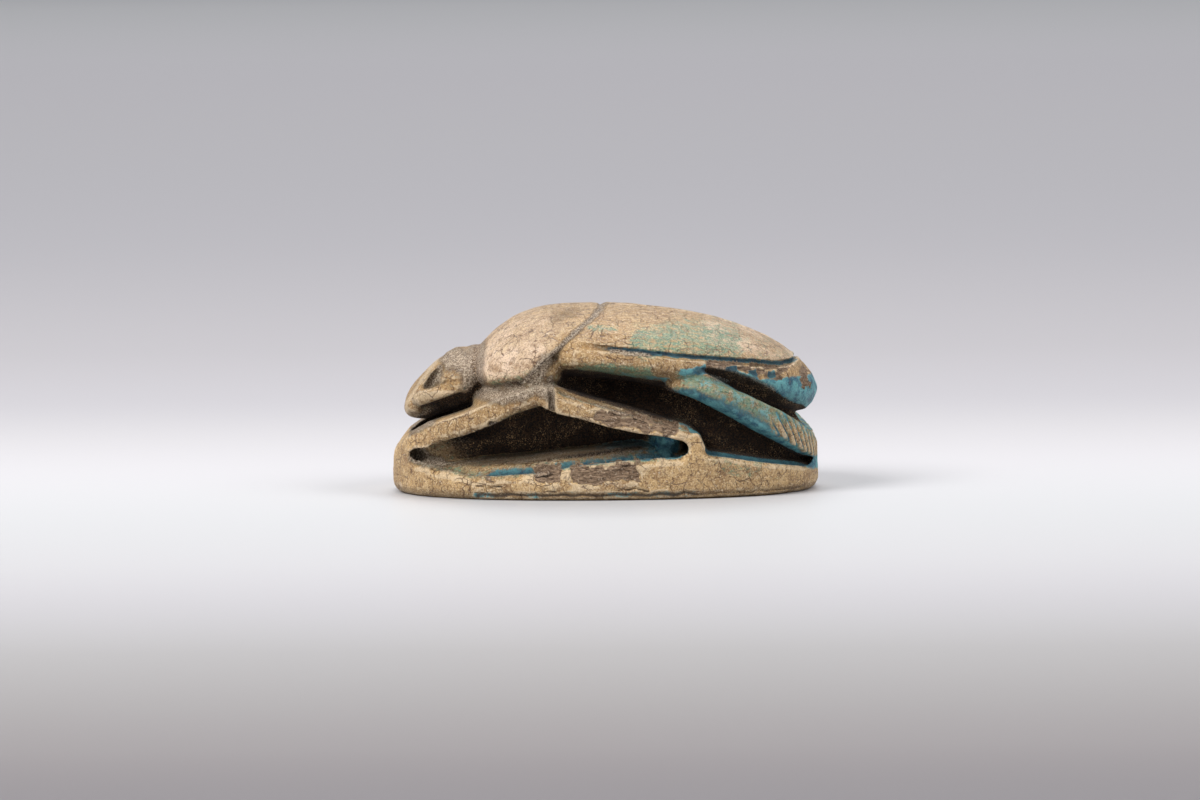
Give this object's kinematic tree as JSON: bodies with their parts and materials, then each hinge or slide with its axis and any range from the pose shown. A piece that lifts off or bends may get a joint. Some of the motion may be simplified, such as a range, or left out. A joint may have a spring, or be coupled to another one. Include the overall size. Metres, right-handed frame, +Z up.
{
  "type": "scarab amulet",
  "caption": "Small beetle-shaped bead amulet carved in one piece on an oval base, with deep openings between the legs and a lengthwise hole for a cord.",
  "frame": {"origin": "middle of the flat underside of the oval base", "axes": "+Z up through the back, -X towards the head, +Y to the beetle's right"},
  "size_m": [0.017, 0.0122, 0.0074],
  "materials": {
    "worn_glazed_steatite": "fired steatite with a crazed glaze, worn to tan on what stands proud and blue-green in the carved lines"
  },
  "bodies": {
    "root": {"scarab": "worn_glazed_steatite"}
  },
  "joints": []
}
